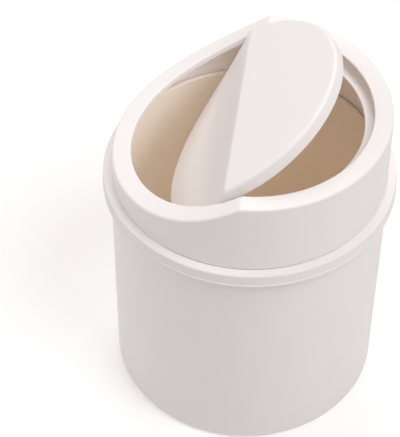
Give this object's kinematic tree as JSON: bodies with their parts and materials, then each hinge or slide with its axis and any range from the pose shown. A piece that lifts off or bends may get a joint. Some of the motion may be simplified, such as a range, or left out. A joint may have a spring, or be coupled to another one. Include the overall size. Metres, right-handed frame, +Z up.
{
  "type": "countertop trash can with swing lid",
  "caption": "Small round countertop bin: bucket with a banded rim, inner pail, lift-off cover with a creased top, and a bent round lid that swings on side pins.",
  "frame": {"origin": "middle of the base, on the surface that the bin stands on", "axes": "+Z up; the pins of the swing lid lie along X; the side that is pushed in is -Y and the large half of the lid rises at +Y"},
  "size_m": [0.155, 0.155, 0.2186],
  "materials": {
    "shell": "satin moulded plastic, warm off-white",
    "pail": "satin moulded plastic, cream white",
    "steel": "plain zinc-plated steel"
  },
  "bodies": {
    "bucket": {"outer_bucket": "shell"},
    "pail": {"inner_pail": "pail"},
    "cover": {"cover_ring": "shell"},
    "lid": {"swing_lid": "shell", "pivot_pin_left": "shell", "pivot_pin_right": "shell", "counterweight": "steel", "counterweight_cover": "shell", "counterweight_screws": "steel"}
  },
  "joints": [
    {"name": "pail_lift", "type": "slide", "parent": "bucket", "child": "pail", "axis": [0, 0, 1], "range_m": [0, 0.145]},
    {"name": "cover_lift", "type": "slide", "parent": "pail", "child": "cover", "axis": [0, 0, 1], "range_m": [0, 0.07]},
    {"name": "lid_swing", "type": "hinge", "parent": "cover", "child": "lid", "pos_m": [0, -0.002, 0.1705], "axis": [1, 0, 0], "range_deg": [-35, 25]}
  ]
}
